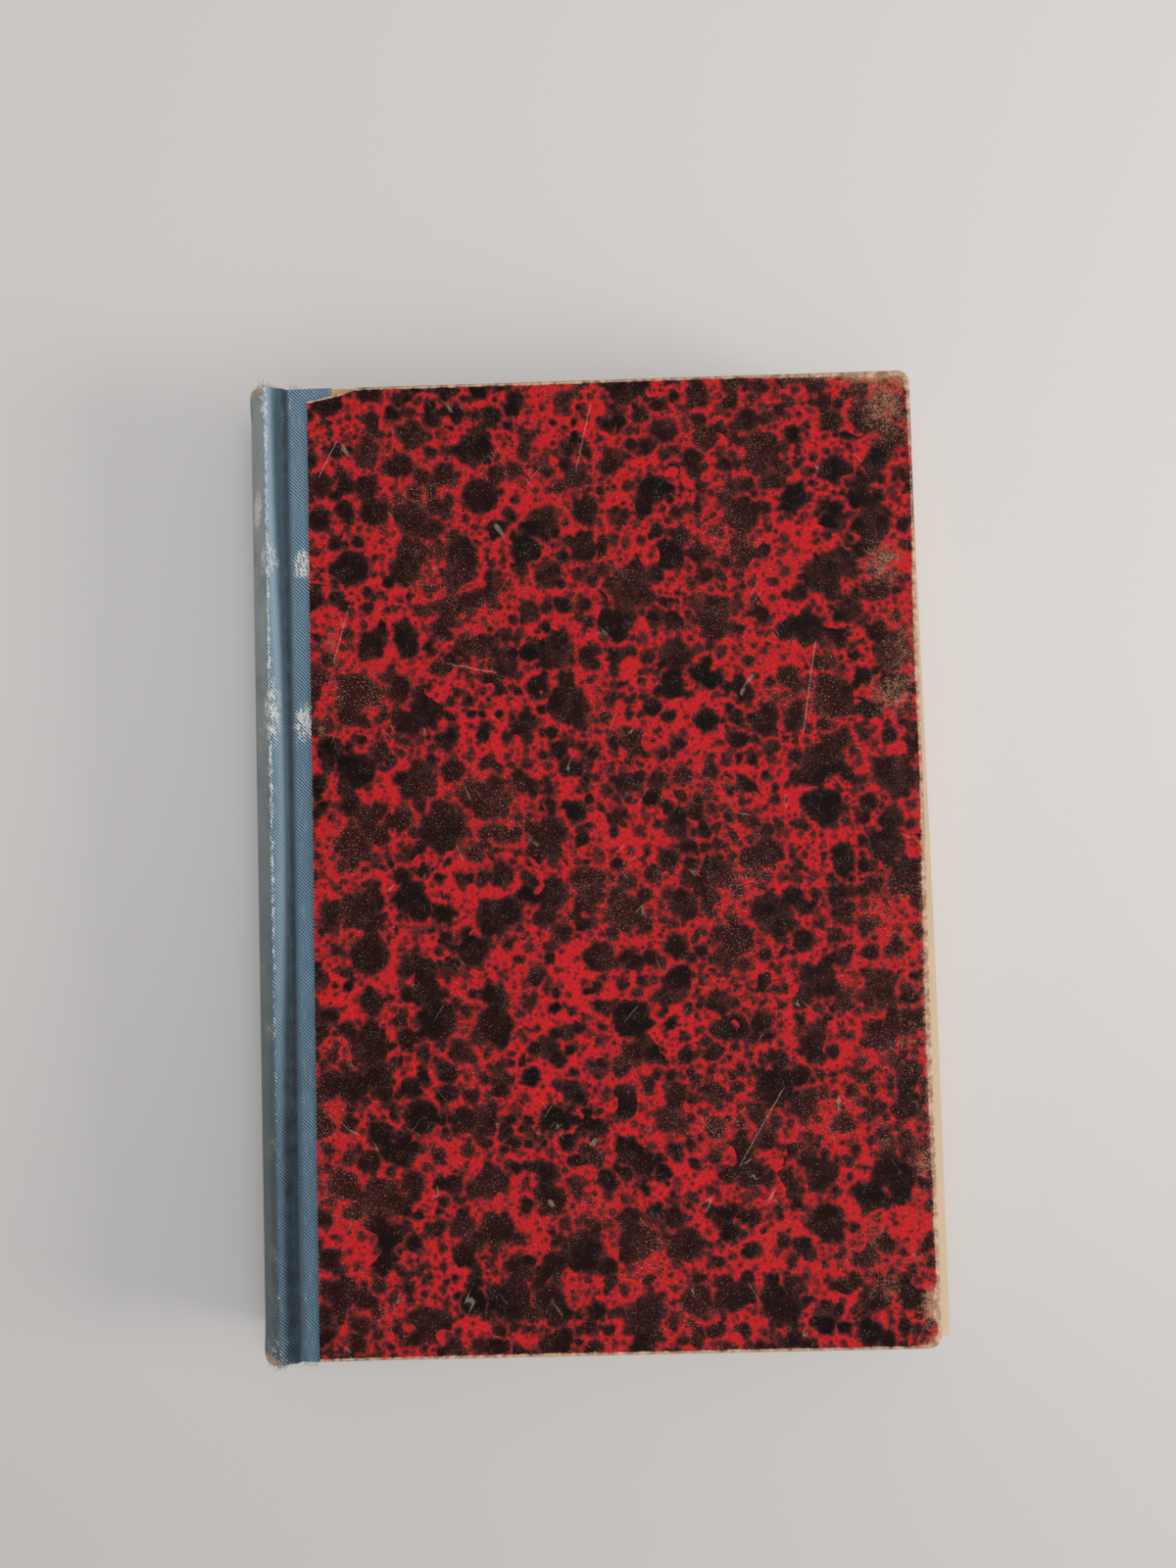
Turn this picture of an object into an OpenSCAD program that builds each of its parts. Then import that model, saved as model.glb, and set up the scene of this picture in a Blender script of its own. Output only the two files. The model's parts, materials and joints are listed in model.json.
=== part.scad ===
// Old hardback book, quarter bound: cloth spine, paper-covered boards, rounded back, lying on its back cover.
// Millimetres. +X is the fore-edge, +Y the head, +Z up through the front cover.

/* [Boards] */
// Height of a cover board, tail to head
board_h = 190; // [150:1:260]
// Width of a cover board, joint edge to fore-edge
board_w = 123.2; // [95:0.1:180]
// Thickness of a cover board
board_t = 2.2; // [1.5:0.1:3.5]
// Radius worn on to the fore-edge corners of the boards
corner_r = 2.2; // [0.5:0.1:5]
// How much narrower the front board was cut at the tail than at the head
front_taper = 0.8; // [0:0.1:2]

/* [Pages] */
// Thickness of the sewn pages
block_t = 14.8; // [10:0.1:30]
// How far the boards stand past the pages at head and tail
square = 1; // [0.5:0.1:4]
// How far the pages have slipped out past the fore-edge of the front board
page_slip = 1.5; // [0.2:0.1:2.2]

/* [Spine] */
// How far the spine rounds out past its two shoulders
spine_bulge = 4.6; // [2:0.1:6]
// Depth of the two shoulders below the face of the covers
shoulder_drop = 0.9; // [0.7:0.1:1.5]
// Thickness of the card strip inside the spine
inlay_t = 0.8; // [0.4:0.1:1.2]
// Open space between the spine and the gauze on the pages
hollow = 0.4; // [0.3:0.1:1]
// Thickness of the gauze glued to the back of the pages
mull_t = 0.3; // [0.2:0.1:0.6]

/* [Joints] */
// Distance from the spine's shoulder to the bottom of the joint groove
ridge_w = 3.4; // [2.8:0.1:5]
// Flat width at the bottom of the front groove, up to the hinge line
front_groove = 0.2; // [0.2:0.1:3]
// Flat width at the bottom of the back groove, up to the hinge line
back_groove = 3.2; // [0.2:0.1:5]
// Distance from the hinge line to the edge of the board
board_gap = 1.8; // [1.4:0.1:3]

/* [Cloth and paper] */
// Thickness of the twill cloth
cloth_t = 0.3; // [0.2:0.05:0.5]
// Width of the cloth glued down on each board
cloth_on_board = 8.5; // [6:0.1:20]
// Width of that cloth left showing beside the paper
cloth_shown = 3.4; // [2:0.1:5]
// Thickness of the sprinkled cover paper
paper_t = 0.2; // [0.1:0.05:0.3]
// How far the joint edge of the front paper runs out of line from tail to head
paper_skew = 0.8; // [0:0.1:2]
// Width of cloth and paper turned in over the edges
turn_in = 14; // [8:0.5:20]
// Width of the tear at the head of the front paper
tear_w = 9; // [3:0.5:20]
// Height of that tear
tear_h = 2.2; // [0.5:0.1:6]
// Thickness of an endpaper
endpaper_t = 0.15; // [0.1:0.05:0.3]
// Margin of turned-in paper left showing around a pastedown
pastedown_margin = 2.5; // [1.5:0.1:5]

/* [Clearances] */
// Gap between the two cloth pieces at each hinge line
hinge_slit = 0.3; // [0.2:0.05:0.5]
// Gap between a closed cover and the flyleaf
cover_gap = 0.1; // [0.05:0.05:0.4]
// Gap between the cloth in the groove and the flyleaf below it
groove_gap = 0.25; // [0.1:0.05:0.5]

/* [Hidden] */
// Facets along the round of the spine and along half of a ridge
arc_steps = 28;
ridge_steps = 10;
corner_steps = 6;
bend_steps = 5;
// Small overshoot for cuts
over = 1;

// Levels: the covers are equal, so the back cover is the front one mirrored about mid thickness
cover_t = paper_t + board_t + cloth_t + endpaper_t;
thick = block_t + 2 * (endpaper_t + cover_gap + cover_t);
mid_z = thick / 2;
board_top = thick - paper_t;
board_low = board_top - board_t;
page_top = mid_z + block_t / 2;
fly_top = page_top + endpaper_t;
groove_z = fly_top + groove_gap + cloth_t;

// Round of the spine, with x measured from the front hinge line
shoulder_x = -(ridge_w + front_groove);
half_chord = mid_z - shoulder_drop;
spine_r = (spine_bulge * spine_bulge + half_chord * half_chord) / (2 * spine_bulge);
spine_cx = shoulder_x - spine_bulge + spine_r;
shoulder_a = 180 - asin(half_chord / spine_r);
inlay_r = spine_r - cloth_t;
lining_r = inlay_r - inlay_t;
mull_r = lining_r - cloth_t - hollow;
page_r = mull_r - mull_t;

// Hinge lines and edges
front_x = 0;
back_x = shoulder_x + ridge_w + back_groove;
front_edge = front_x + board_gap + board_w + paper_t;
back_edge = back_x + board_gap + board_w + paper_t;
page_edge = front_edge + page_slip;
page_h = board_h - 2 * square;
cloth_h = board_h + 2 * cloth_t;

// The origin is under the middle of the whole book
shift_x = -(shoulder_x - spine_bulge + max(back_edge, page_edge)) / 2;

// Points on an arc, for a count of equal steps
function arc(cx, cy, r, a0, a1, steps) =
    [for (i = [0:steps]) [cx + r * cos(a0 + (a1 - a0) * i / steps), cy + r * sin(a0 + (a1 - a0) * i / steps)]];

// List turned end to end, and list mirrored about mid thickness
function reversed(list) = [for (i = [len(list) - 1:-1:0]) list[i]];
function flipped(list) = [for (p = list) [p[0], thick - p[1]]];

// Smooth curve from p to q that leaves along u and arrives along v, and its direction
function curve(p, u, q, v, s) =
    (2 * s * s * s - 3 * s * s + 1) * p + (s * s * s - 2 * s * s + s) * u
    + (3 * s * s - 2 * s * s * s) * q + (s * s * s - s * s) * v;
function curve_dir(p, u, q, v, s) =
    (6 * s * s - 6 * s) * p + (3 * s * s - 4 * s + 1) * u + (6 * s - 6 * s * s) * q + (3 * s * s - 2 * s) * v;
function left_of(d) = [-d[1], d[0]] / norm(d);

// The curve, set in by a depth on its right-hand side
function curve_line(p, u, q, v, depth) =
    [for (i = [0:ridge_steps])
        let (s = i / ridge_steps)
        curve(p, u, q, v, s) - depth * left_of(curve_dir(p, u, q, v, s))];

// Ridge beside the groove: from the spine's shoulder over the crest and down to the groove
ridge_start = [shoulder_x, mid_z + half_chord];
ridge_leave = 1.1 * ridge_w * [sin(shoulder_a), -cos(shoulder_a)];
ridge_end = [shoulder_x + ridge_w, groove_z];
ridge_arrive = [0.9 * ridge_w, 0];
function ridge_line(depth) = curve_line(ridge_start, ridge_leave, ridge_end, ridge_arrive, depth);

// One side of the spine cloth, set in by a depth: round, ridge, flat of the groove
function spine_side(hinge_x, depth) = concat(
    arc(spine_cx, mid_z, spine_r - depth, 180, shoulder_a, arc_steps / 2),
    [for (i = [1:ridge_steps]) ridge_line(depth)[i]],
    [[hinge_x - hinge_slit / 2, groove_z - depth]]);
function spine_line(depth) = concat(
    reversed(flipped(spine_side(back_x, depth))),
    [for (i = [1:len(spine_side(front_x, depth)) - 1]) spine_side(front_x, depth)[i]]);

// Cloth of a cover, set in by a depth: up the edge of the board in two equal bends
ramp_h = board_top - groove_z;
ramp_r = min(board_gap - cloth_t - hinge_slit / 2, ramp_h) / 2;
function ramp_line(hinge_x, depth) = concat(
    [[hinge_x + hinge_slit / 2, groove_z - depth]],
    arc(hinge_x + board_gap - cloth_t - 2 * ramp_r, groove_z + ramp_r, ramp_r + depth, -90, 0, bend_steps),
    arc(hinge_x + board_gap - cloth_t, board_top - ramp_r, ramp_r - depth, 180, 90, bend_steps));

// Section of that cloth, carried on over the board for a width
module cloth_section(hinge_x, width) {
    edge_x = hinge_x + board_gap + width;
    polygon(concat(
        ramp_line(hinge_x, 0), [[edge_x, board_top], [edge_x, board_top - cloth_t]],
        reversed(ramp_line(hinge_x, cloth_t))));
}

// Outline of a board grown by an amount, square at the joint and rounded at the fore-edge
function board_outline(hinge_x, taper, grow) = concat(
    [[hinge_x + board_gap, board_h / 2 + grow], [hinge_x + board_gap, -board_h / 2 - grow]],
    arc(hinge_x + board_gap + board_w - taper - corner_r, corner_r - board_h / 2, corner_r + grow, -90, 0,
        corner_steps),
    arc(hinge_x + board_gap + board_w - corner_r, board_h / 2 - corner_r, corner_r + grow, 0, 90, corner_steps));

// Places the book over the origin
module place() {
    translate([shift_x, 0, 0]) children();
}

// A section drawn in X and Z, carried along the height of the book
module along_spine(length) {
    rotate([90, 0, 0]) linear_extrude(height = length, center = true) children();
}

// The same section twice, at head and at tail, from one level of Y to another
module at_both_ends(y0, y1) {
    for (end = [-1, 1])
        translate([0, end * (y0 + y1) / 2, 0]) along_spine(y1 - y0) children();
}

// A plan drawn in X and Y, between two levels
module slab(z0, z1) {
    translate([0, 0, z0]) linear_extrude(height = z1 - z0) children();
}

// Turns a front piece into the back one
module under() {
    translate([0, 0, thick]) mirror([0, 0, 1]) children();
}

// Band around the spine's centre between two radii
module spine_band(r0, r1) {
    polygon(concat(
        arc(spine_cx, mid_z, r1, shoulder_a, 360 - shoulder_a, arc_steps),
        arc(spine_cx, mid_z, r0, 360 - shoulder_a, shoulder_a, arc_steps)));
}

// Section of the pages: round back with shoulders, flat sides, hollow fore-edge of the same round
module page_section() {
    shoulder = [spine_cx + page_r * cos(shoulder_a), mid_z + page_r * sin(shoulder_a)];
    flat_x = shoulder[0] + 1.6;
    half_a = asin(block_t / 2 / page_r);
    fore_cx = page_edge + page_r * cos(half_a);
    polygon(concat(
        [[flat_x, page_top]],
        arc(spine_cx, mid_z, page_r, shoulder_a, 360 - shoulder_a, arc_steps),
        [[flat_x, thick - page_top]],
        arc(fore_cx, mid_z, page_r, 180 + half_a, 180 - half_a, arc_steps)));
}

// Board with the step that takes the cloth, so that the paper lies flat over both
module cover_board(hinge_x, taper) {
    difference() {
        slab(board_low, board_top) polygon(board_outline(hinge_x, taper, 0));
        translate([hinge_x + board_gap - over, -board_h / 2 - over, board_top - cloth_t])
            cube([over + cloth_on_board, board_h + 2 * over, cloth_t + over]);
    }
}

// Section of the cloth turned in on a board, as wide as the cloth that shows
module cloth_fold(hinge_x, z0, z1) {
    translate([hinge_x + board_gap, z0]) square([cloth_shown - paper_skew, z1 - z0]);
}

// Cloth of a cover with its fold-over at head and tail
module cover_cloth(hinge_x) {
    along_spine(board_h) cloth_section(hinge_x, cloth_on_board);
    along_spine(cloth_h) cloth_section(hinge_x, cloth_shown - paper_skew);
    at_both_ends(board_h / 2, cloth_h / 2) cloth_fold(hinge_x, board_low - cloth_t, board_top);
    at_both_ends(board_h / 2 - turn_in, cloth_h / 2) cloth_fold(hinge_x, board_low - cloth_t, board_low);
}

// Joint edge of a cover paper at head and tail
function paper_x(hinge_x, skew) = hinge_x + board_gap + cloth_shown + skew / 2;

// Paper turned in under the board: the ring that a pastedown leaves room for
module paper_fold(hinge_x, taper) {
    slab(board_low - paper_t, board_low) difference() {
        polygon(board_outline(hinge_x, taper, paper_t));
        translate([hinge_x + board_gap - over, turn_in - board_h / 2])
            square([board_w - taper - turn_in + over, board_h - 2 * turn_in]);
        translate([hinge_x + board_gap - over, -board_h])
            square([over + cloth_shown + paper_skew, 2 * board_h]);
    }
}

// Cover paper over three edges of the board, with its joint edge a little out of line
module cover_paper(hinge_x, taper, skew) {
    difference() {
        slab(board_low, thick) polygon(board_outline(hinge_x, taper, paper_t));
        slab(board_low - over, board_top) polygon(board_outline(hinge_x, taper, 0));
        slab(0, thick + over)
            polygon([
                [hinge_x - over, -board_h], [paper_x(hinge_x, -skew), -board_h],
                [paper_x(hinge_x, -skew), -board_h / 2], [paper_x(hinge_x, skew), board_h / 2],
                [paper_x(hinge_x, skew), board_h], [hinge_x - over, board_h]]);
    }
    paper_fold(hinge_x, taper);
}

// Piece torn away from the front paper at the head, through the face and the fold
module tear() {
    x0 = paper_x(front_x, paper_skew);
    slab(board_low, thick + over)
        polygon([
            [x0 - 2, board_h / 2 - tear_h], [x0 + 0.35 * tear_w, board_h / 2 - 0.75 * tear_h],
            [x0 + 0.6 * tear_w, board_h / 2 - 0.4 * tear_h], [x0 + 0.85 * tear_w, board_h / 2 - 0.25 * tear_h],
            [x0 + tear_w, board_h / 2 + over], [x0 - 2, board_h / 2 + over]]);
}

// Half of an endpaper glued to the inside of a cover, stepped over what is turned in
module pastedown(hinge_x, taper) {
    difference() {
        slab(board_low - cloth_t - endpaper_t, board_low)
            translate([hinge_x + board_gap + 0.3, pastedown_margin - board_h / 2])
                square([board_w - taper - pastedown_margin - 0.3, board_h - 2 * pastedown_margin]);
        paper_fold(hinge_x, taper);
        at_both_ends(board_h / 2 - turn_in, cloth_h / 2) cloth_fold(hinge_x, board_low - cloth_t, board_low);
    }
}

// Free half of an endpaper, lying on the pages
module flyleaf() {
    slab(page_top, fly_top)
        translate([front_x, -page_h / 2]) square([page_edge - front_x, page_h]);
}

// The separate pieces of the book
module text_block() {
    color("#d9c7a3") place() along_spine(page_h) page_section();
}

module front_flyleaf() {
    color("#dccfb4") place() flyleaf();
}

module back_flyleaf() {
    color("#dccfb4") place() under() flyleaf();
}

module spine_mull() {
    color("#cfc3a6") place() along_spine(page_h - 2 * turn_in) spine_band(page_r, mull_r);
}

module spine_inlay() {
    color("#a9885f") place() along_spine(board_h) spine_band(lining_r, inlay_r);
}

module spine_cloth() {
    color("#566c7c") place() {
        along_spine(cloth_h) polygon(concat(spine_line(0), reversed(spine_line(cloth_t))));
        at_both_ends(board_h / 2, cloth_h / 2) spine_band(lining_r - cloth_t, spine_r - cloth_t / 2);
        at_both_ends(board_h / 2 - turn_in, cloth_h / 2) spine_band(lining_r - cloth_t, lining_r);
    }
}

module front_board() {
    color("#b58f63") place() cover_board(front_x, front_taper);
}

module front_cloth() {
    color("#566c7c") place() cover_cloth(front_x);
}

module front_cover_paper() {
    color("#8f1f22") place() difference() {
        cover_paper(front_x, front_taper, paper_skew);
        tear();
    }
}

module front_pastedown() {
    color("#dccfb4") place() pastedown(front_x, front_taper);
}

module back_board() {
    color("#b58f63") place() under() cover_board(back_x, 0);
}

module back_cloth() {
    color("#566c7c") place() under() cover_cloth(back_x);
}

module back_cover_paper() {
    color("#8f1f22") place() under() cover_paper(back_x, 0, 0);
}

module back_pastedown() {
    color("#dccfb4") place() under() pastedown(back_x, 0);
}

// Names of the pieces, and the one to draw

text_block();
front_flyleaf();
back_flyleaf();
spine_mull();
spine_inlay();
spine_cloth();
front_board();
front_cloth();
front_cover_paper();
front_pastedown();
back_board();
back_cloth();
back_cover_paper();
back_pastedown();
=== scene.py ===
"""Looks of an old quarter-bound hardback book: twill cloth spine, sprinkled paper sides, aged pages.

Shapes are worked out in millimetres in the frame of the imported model, and become metres in make_piece().
"""
import json
import math
import random

import bpy
import numpy as np
from mathutils import Matrix, Vector, noise


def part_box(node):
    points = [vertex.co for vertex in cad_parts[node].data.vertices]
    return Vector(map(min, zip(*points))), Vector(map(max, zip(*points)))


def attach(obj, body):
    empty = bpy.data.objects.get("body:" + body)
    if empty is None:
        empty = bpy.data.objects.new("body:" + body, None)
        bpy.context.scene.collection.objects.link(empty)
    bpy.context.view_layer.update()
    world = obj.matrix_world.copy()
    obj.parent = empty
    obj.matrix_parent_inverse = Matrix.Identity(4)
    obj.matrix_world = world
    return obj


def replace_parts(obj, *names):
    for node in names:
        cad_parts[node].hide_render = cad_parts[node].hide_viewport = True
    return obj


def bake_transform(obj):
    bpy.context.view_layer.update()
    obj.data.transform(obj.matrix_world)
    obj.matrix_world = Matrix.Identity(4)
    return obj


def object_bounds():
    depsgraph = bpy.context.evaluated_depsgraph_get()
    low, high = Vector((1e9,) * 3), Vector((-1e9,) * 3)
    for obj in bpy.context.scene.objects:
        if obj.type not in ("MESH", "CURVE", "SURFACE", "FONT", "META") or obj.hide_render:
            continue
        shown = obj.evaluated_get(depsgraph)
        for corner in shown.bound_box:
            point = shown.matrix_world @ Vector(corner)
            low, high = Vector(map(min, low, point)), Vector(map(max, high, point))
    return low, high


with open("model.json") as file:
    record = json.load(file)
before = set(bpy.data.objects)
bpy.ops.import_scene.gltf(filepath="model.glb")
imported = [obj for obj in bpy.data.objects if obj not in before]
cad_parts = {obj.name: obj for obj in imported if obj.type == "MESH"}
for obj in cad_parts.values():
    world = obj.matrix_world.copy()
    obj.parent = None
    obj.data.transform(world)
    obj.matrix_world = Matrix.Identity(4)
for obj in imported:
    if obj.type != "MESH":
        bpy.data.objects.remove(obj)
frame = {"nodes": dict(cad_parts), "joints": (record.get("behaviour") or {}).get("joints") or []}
cad_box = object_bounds()

MM = 0.001
random.seed(19)


# Sizes from the frame

def box_mm(node):
    """Lowest and highest corner of a CAD node, in millimetres."""
    low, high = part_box(node)
    return np.array(low) / MM, np.array(high) / MM


def hinge_x(name):
    """Place of a hinge line along X, in millimetres."""
    joint = next(j for j in frame["joints"] if j["name"] == name)
    return joint["pos_m"][0] / MM


HINGE_X = {"front": hinge_x("front_cover_hinge"), "back": hinge_x("back_cover_hinge")}
FRONT_X = HINGE_X["front"]
THICK = cad_box[1].z / MM
MID_Z = THICK / 2

BOARD_LOW, BOARD_HIGH = box_mm("front_board")
FLY_LOW, FLY_HIGH = box_mm("front_flyleaf")
PASTE_LOW, PASTE_HIGH = box_mm("front_pastedown")
SPINE_LOW, SPINE_HIGH = box_mm("spine_cloth")
PAPER_TOP = box_mm("front_cover_paper")[1][2]
CLOTH_HIGH = box_mm("front_cloth")[1]
PAGES_HIGH = box_mm("text_block")[1]

BOARD_HALF = BOARD_HIGH[1]
BOARD_TOP = BOARD_HIGH[2]
BOARD_UNDER = BOARD_LOW[2]
BOARD_GAP = BOARD_LOW[0] - FRONT_X
BOARD_W = BOARD_HIGH[0] - BOARD_LOW[0]
PAPER_T = PAPER_TOP - BOARD_TOP
CLOTH_T = CLOTH_HIGH[1] - BOARD_HALF
CLOTH_HALF = SPINE_HIGH[1]
CLOTH_END = CLOTH_HIGH[0] - FRONT_X
PAGE_HALF = PAGES_HIGH[1]
PAGE_TOP = FLY_LOW[2]

# Sizes of the binding that the boxes don't tell
CORNER_R = 2.2
FRONT_TAPER = 0.8
PAPER_EDGE = 5.2
PAPER_SKEW = 0.8
TURN_IN = 14
INLAY_T = 0.8
HOLLOW = 0.7
SHOULDER_DROP = 0.9
RIDGE_W = 3.4
FRONT_GROOVE = 0.2
GROOVE_LIFT = 0.25
PASTE_MARGIN = 2.5
TEAR_W = 9
TEAR_H = 2.2

SHOULDER_X = FRONT_X - FRONT_GROOVE - RIDGE_W
SPINE_BULGE = SHOULDER_X - SPINE_LOW[0]
HALF_CHORD = MID_Z - SHOULDER_DROP
SPINE_R = (SPINE_BULGE ** 2 + HALF_CHORD ** 2) / (2 * SPINE_BULGE)
SPINE_CX = SPINE_LOW[0] + SPINE_R
SHOULDER_A = math.pi - math.asin(HALF_CHORD / SPINE_R)
PAGE_R = SPINE_R - 2 * CLOTH_T - INLAY_T - HOLLOW
GROOVE_Z = FLY_HIGH[2] + GROOVE_LIFT + CLOTH_T

# Far shift in Y that gives the back cover another stretch of each pattern
BACK_PAPER_SHIFT = 400
BACK_BOARD_SHIFT = 300


# Small mathematics

def smooth(value, low, high):
    """0 below low, 1 above high, and a smooth step between them."""
    t = np.clip((np.asarray(value, float) - low) / (high - low), 0, 1)
    return t * t * (3 - 2 * t)


def bell(value, centre, width):
    """1 at the centre, and nearly 0 two widths away from it."""
    return np.exp(-((value - centre) / width) ** 2)


def wobble(x, y, seed):
    """Smooth noise from -1 to 1 at each of the points."""
    values = [noise.noise(Vector((a, b, seed))) for a, b in zip(np.ravel(x), np.ravel(y))]
    return np.array(values).reshape(np.shape(x))


def pairs(x, y):
    """Points from two columns, of which one may be a single number."""
    return np.stack(np.broadcast_arrays(x, y), 1)


def arc(cx, cz, radius, start, end, steps):
    """Points on an arc in X and Z, angles in radians."""
    angles = np.linspace(start, end, steps + 1)
    return pairs(cx + radius * np.cos(angles), cz + radius * np.sin(angles))


def hermite(p, u, q, v, steps):
    """Points on a smooth curve from p to q that leaves along u and arrives along v."""
    s = np.linspace(0, 1, steps + 1)[:, None]
    return ((2 * s ** 3 - 3 * s ** 2 + 1) * p + (s ** 3 - 2 * s ** 2 + s) * u
            + (3 * s ** 2 - 2 * s ** 3) * q + (s ** 3 - s ** 2) * v)


def rounded_edge(radius, wall, steps):
    """Ways out and down over an edge that is rounded above and below, from where the face ends."""
    angles = np.linspace(0, math.pi / 2, steps + 1)
    upper = [(radius * math.sin(a), radius * (1 - math.cos(a))) for a in angles]
    lower = [(radius * math.cos(a), wall - radius + radius * math.sin(a)) for a in angles]
    return upper + lower


def right_of(ahead):
    """Unit vectors to the right of a row of directions in a plane."""
    out = pairs(ahead[:, 1], -ahead[:, 0])
    return out / np.linalg.norm(out, axis=1, keepdims=True)


def path_lengths(path):
    """Length along a path up to each of its points."""
    steps = np.linalg.norm(np.diff(path, axis=0), axis=1)
    return np.concatenate([[0], np.cumsum(steps)])


# Meshes

def grid_faces(rows, columns):
    """Quads of a grid of points stored row by row, facing along rows x columns."""
    corners = [i * columns + j for i in range(rows - 1) for j in range(columns - 1)]
    return [(a, a + columns, a + columns + 1, a + 1) for a in corners]


def free_edges(rows, columns):
    """Point numbers along three edges of such a grid: its first column, its last row and its last column."""
    first = [i * columns for i in range(rows)]
    end = [(rows - 1) * columns + j for j in range(1, columns)]
    last = [i * columns + columns - 1 for i in range(rows - 2, -1, -1)]
    return first + end + last


def ring_numbers(loop, first, rings):
    """Point numbers of an outline, and of rings stored one after the other from a first number."""
    size = len(loop)
    return [np.array(loop)] + [first + size * k + np.arange(size) for k in range(rings)]


def bridge(rings, whole=None, closed=False):
    """Quads from each ring of point numbers to the next, only between points that are whole."""
    faces = []
    count = len(rings[0])
    for inside, outside in zip(rings[:-1], rings[1:]):
        for k in range(count if closed else count - 1):
            m = (k + 1) % count
            if whole is None or (whole[k] and whole[m]):
                faces.append((inside[k], outside[k], outside[m], inside[m]))
    return faces


def turned_quads(faces):
    """The same quads, each with its other diagonal as the one that splits it."""
    return [face[1:] + face[:1] for face in faces]


def drop_unused(faces, *arrays):
    """Leaves out points that no face uses: the renumbered faces, and the rows of each array that stay."""
    used = sorted({k for face in faces for k in face})
    place = {k: i for i, k in enumerate(used)}
    renumbered = [tuple(place[k] for k in face) for face in faces]
    return renumbered, *[values[used] for values in arrays]


def vertex_normals(points, faces):
    normals = np.zeros_like(points)
    for face in faces:
        a, b, c, d = (points[k] for k in face)
        n = np.cross(b - a, c - a) + np.cross(c - a, d - a)
        for k in face:
            normals[k] += n
    return normals / np.maximum(np.linalg.norm(normals, axis=1, keepdims=True), 1e-12)


def thicken(points, faces, depth):
    """A closed solid from an open sheet of quads: its back lies at a depth behind its face."""
    count = len(points)
    depth = np.broadcast_to(np.asarray(depth, float), (count,))
    back = points - vertex_normals(points, faces) * depth[:, None]
    edges = {(f[k], f[(k + 1) % len(f)]) for f in faces for k in range(len(f))}
    rim = [(b, a, a + count, b + count) for a, b in sorted(edges) if (b, a) not in edges]
    turned = [tuple(k + count for k in reversed(f)) for f in faces]
    return np.concatenate([points, back]), list(faces) + turned + rim


def both_sides(fields):
    """Field values for a thickened sheet, the back as the face."""
    return {name: np.concatenate([values, values]) for name, values in fields.items()}


def mirrored(points, faces):
    """The same sheet or solid on the other side of mid thickness."""
    points = points * [1, 1, -1] + [0, 0, THICK]
    return points, [tuple(reversed(f)) for f in faces]


def make_piece(name, points, faces, material, fields, sharp=40):
    """A mesh object from points in millimetres, with named fields for its material."""
    mesh = bpy.data.meshes.new(name)
    mesh.from_pydata((np.asarray(points) * MM).tolist(), [], faces)
    mesh.validate()
    for field, values in fields.items():
        values = np.asarray(values, np.float32)
        if values.ndim == 2:
            mesh.attributes.new(field, "FLOAT_VECTOR", "POINT").data.foreach_set("vector", values.ravel())
        else:
            mesh.attributes.new(field, "FLOAT", "POINT").data.foreach_set("value", values)
    mesh.polygons.foreach_set("use_smooth", [True] * len(mesh.polygons))
    mesh.set_sharp_from_angle(angle=math.radians(sharp))
    mesh.materials.append(material)
    piece = bpy.data.objects.new(name, mesh)
    bpy.context.scene.collection.objects.link(piece)
    return piece


# Writing of materials

def srgb(red, green, blue):
    """Linear colour from the 0 to 255 values of a screen."""
    def linear(c):
        c /= 255
        return c / 12.92 if c <= 0.04045 else ((c + 0.055) / 1.055) ** 2.4
    return (linear(red), linear(green), linear(blue), 1)


class Signal:
    """Output of a node. Sums and products of signals add nodes, by components where it is a vector."""

    def __init__(self, shader, socket):
        self.shader = shader
        self.socket = socket
        self.is_vector = socket.type in ("VECTOR", "RGBA")

    def join(self, operation, a, b):
        kind = "Math"
        if self.is_vector:
            kind = "VectorMath"
            a, b = (x if isinstance(x, (Signal, tuple)) else (x, x, x) for x in (a, b))
        return self.shader.add(kind, {0: a, 1: b}, operation=operation)

    def __add__(self, other):
        return self.join("ADD", self, other)

    def __sub__(self, other):
        return self.join("SUBTRACT", self, other)

    def __rsub__(self, other):
        return self.join("SUBTRACT", other, self)

    def __mul__(self, other):
        return self.join("MULTIPLY", self, other)

    def __truediv__(self, other):
        return self.join("DIVIDE", self, other)

    def __abs__(self):
        return self.shader.math("ABSOLUTE", self)


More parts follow.
